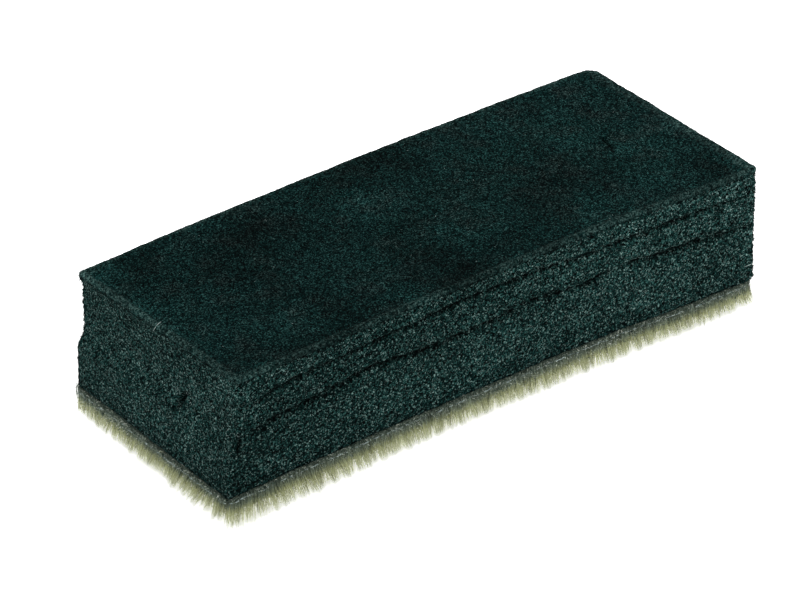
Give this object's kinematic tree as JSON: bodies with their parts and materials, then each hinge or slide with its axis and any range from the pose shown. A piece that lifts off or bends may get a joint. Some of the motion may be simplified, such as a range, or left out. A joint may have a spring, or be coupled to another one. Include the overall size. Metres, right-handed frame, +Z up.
{
  "type": "chalkboard eraser",
  "caption": "Rectangular chalkboard eraser: a dark laminated felt block held in the hand, with a pale wool pile wiping pad glued under it.",
  "frame": {"origin": "middle of the wiping face, at the tips of the wool pile, where the eraser rests", "axes": "+X along the length, +Y across the width, +Z up from the pile to the top face"},
  "size_m": [0.127, 0.0508, 0.0318],
  "materials": {
    "wool": "matte",
    "backing_cloth": "matte",
    "pale_glue": "matte",
    "block_felt": "matte",
    "dark_glue": "matte",
    "cover_felt": "matte"
  },
  "bodies": {
    "root": {"wool_pile": "wool", "pile_backing": "backing_cloth", "pad_bond_film": "pale_glue", "base_felt_ply": "block_felt", "lower_bond_film": "dark_glue", "middle_felt_ply": "block_felt", "upper_bond_film": "dark_glue", "upper_felt_ply": "block_felt", "top_cover": "cover_felt"}
  },
  "joints": []
}
